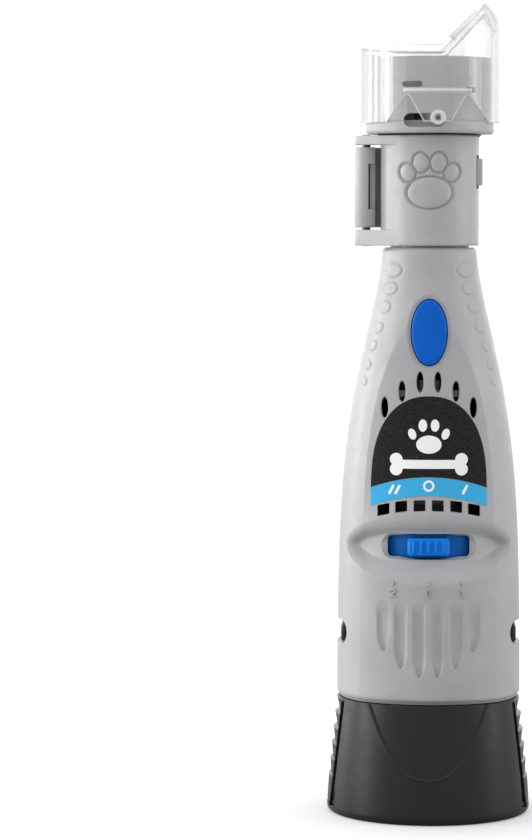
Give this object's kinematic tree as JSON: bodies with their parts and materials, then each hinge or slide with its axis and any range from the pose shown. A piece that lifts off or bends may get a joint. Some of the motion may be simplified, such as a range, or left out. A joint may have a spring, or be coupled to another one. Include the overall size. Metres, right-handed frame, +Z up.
{
  "type": "cordless nail grinder",
  "caption": "Battery-powered pet nail grinder with a spindle lock, a sliding speed switch, a hinged guard and a clear cap with a slanted nail guide over an abrasive disc.",
  "frame": {"origin": "centre of the battery pack's bottom face, on the floor the tool stands on", "axes": "+Z up the spindle towards the nail guide, -Y out of the label side, +X towards the high side of the slanted nail guide"},
  "size_m": [0.0488, 0.049, 0.197],
  "materials": {
    "housing_plastic": "moulded, fine grain",
    "screw_steel": "black oxide",
    "badge_black": "printed film",
    "button_blue": "moulded, satin",
    "spring_steel": "drawn wire",
    "switch_plastic": "moulded",
    "switch_black": "moulded",
    "contact_brass": "stamped",
    "lead_red": "insulation",
    "motor_steel": "zinc plated",
    "magnet_grey": "sintered",
    "bush_bronze": "sintered",
    "core_steel": "laminated",
    "winding_copper": "enamelled wire",
    "spindle_steel": "ground",
    "bearing_steel": "polished",
    "nut_steel": "turned",
    "mandrel_brass": "turned",
    "disc_steel": "stamped",
    "abrasive_blue": "coated grit",
    "guard_plastic": "moulded, fine grain",
    "cap_clear": "clear moulded plastic",
    "pack_dark": "moulded, fine grain",
    "cell_green": "shrink film",
    "link_nickel": "stamped",
    "latch_dark": "moulded, fine grain"
  },
  "bodies": {
    "housing": {"front_housing": "housing_plastic", "rear_housing": "housing_plastic", "housing_screws": "screw_steel", "badge": "badge_black", "lock_spring": "spring_steel", "switch_body": "switch_plastic", "switch_terminals": "contact_brass", "battery_contacts": "contact_brass", "motor_leads": "lead_red", "motor_can": "motor_steel", "motor_end_cap": "switch_plastic", "motor_magnets": "magnet_grey", "motor_brushes": "contact_brass", "motor_front_bush": "bush_bronze", "motor_rear_bush": "bush_bronze", "bearing_outer_race": "bearing_steel", "bearing_balls": "bearing_steel", "guard_shell": "guard_plastic", "guard_hinge_pin": "screw_steel"},
    "rotor": {"motor_shaft": "spindle_steel", "motor_armature": "core_steel", "motor_windings": "winding_copper", "motor_commutator": "winding_copper", "lock_coupling": "spindle_steel", "spindle": "spindle_steel", "bearing_inner_race": "bearing_steel", "collet": "spindle_steel", "mandrel_shank": "spindle_steel", "mandrel_lock": "spindle_steel", "mandrel_spring": "spring_steel"},
    "collet_nut": {"collet_nut": "nut_steel"},
    "mandrel_sleeve": {"mandrel_body": "mandrel_brass"},
    "disc": {"disc_plate": "disc_steel", "disc_abrasive": "abrasive_blue"},
    "lock_button": {"lock_button": "button_blue"},
    "speed_slider": {"speed_slider": "button_blue"},
    "switch_actuator": {"switch_actuator": "switch_black"},
    "guard_door": {"guard_door": "guard_plastic"},
    "nail_cap": {"nail_cap": "cap_clear"},
    "battery": {"battery_case": "pack_dark", "battery_stem": "pack_dark", "battery_cells": "cell_green", "cell_links": "link_nickel", "battery_terminals": "contact_brass", "latch_spring_left": "spring_steel", "latch_spring_right": "spring_steel"},
    "latch_left": {"battery_latch_left": "latch_dark"},
    "latch_right": {"battery_latch_right": "latch_dark"}
  },
  "joints": [
    {"name": "spindle_spin", "type": "hinge", "parent": "housing", "child": "rotor", "pos_m": [0, 0, 0.1335], "axis": [0, 0, 1], "continuous": true},
    {"name": "nut_turn", "type": "hinge", "parent": "rotor", "child": "collet_nut", "pos_m": [0, 0, 0.1545], "axis": [0, 0, 1], "range_deg": [0, 360]},
    {"name": "sleeve_pull", "type": "slide", "parent": "rotor", "child": "mandrel_sleeve", "axis": [0, 0, -1], "range_m": [0, 0.0015], "deforming": ["mandrel_spring"]},
    {"name": "disc_twist", "type": "hinge", "parent": "rotor", "child": "disc", "pos_m": [0, 0, 0.181], "axis": [0, 0, -1], "range_deg": [0, 90]},
    {"name": "lock_press", "type": "slide", "parent": "housing", "child": "lock_button", "axis": [0, 1, 0], "range_m": [0, 0.0018], "deforming": ["lock_spring"]},
    {"name": "speed_slide", "type": "hinge", "parent": "housing", "child": "speed_slider", "pos_m": [0, 0, 0.0663], "axis": [0, 0, 1], "range_deg": [-14.7, 14.7]},
    {"name": "switch_follow", "type": "slide", "parent": "housing", "child": "switch_actuator", "axis": [1, 0, 0], "range_m": [-0.00315, 0.00315]},
    {"name": "guard_swing", "type": "hinge", "parent": "housing", "child": "guard_door", "pos_m": [-0.0154, 0, 0.1515], "axis": [0, 0, -1], "range_deg": [0, 110]},
    {"name": "cap_lift", "type": "slide", "parent": "housing", "child": "nail_cap", "axis": [0, 0, 1], "range_m": [0, 0.032]},
    {"name": "battery_release", "type": "slide", "parent": "housing", "child": "battery", "axis": [0, 0, -1], "range_m": [0, 0.06]},
    {"name": "latch_left_press", "type": "hinge", "parent": "battery", "child": "latch_left", "pos_m": [-0.021, 0, 0.0046], "axis": [0, 1, 0], "range_deg": [0, 3], "deforming": ["latch_spring_left"]},
    {"name": "latch_right_press", "type": "hinge", "parent": "battery", "child": "latch_right", "pos_m": [0.021, 0, 0.0046], "axis": [0, -1, 0], "range_deg": [0, 3], "deforming": ["latch_spring_right"]}
  ],
  "couplings": [
    {"joint": "switch_follow", "follows": "speed_slide", "m_per_rad": 0.0122}
  ]
}
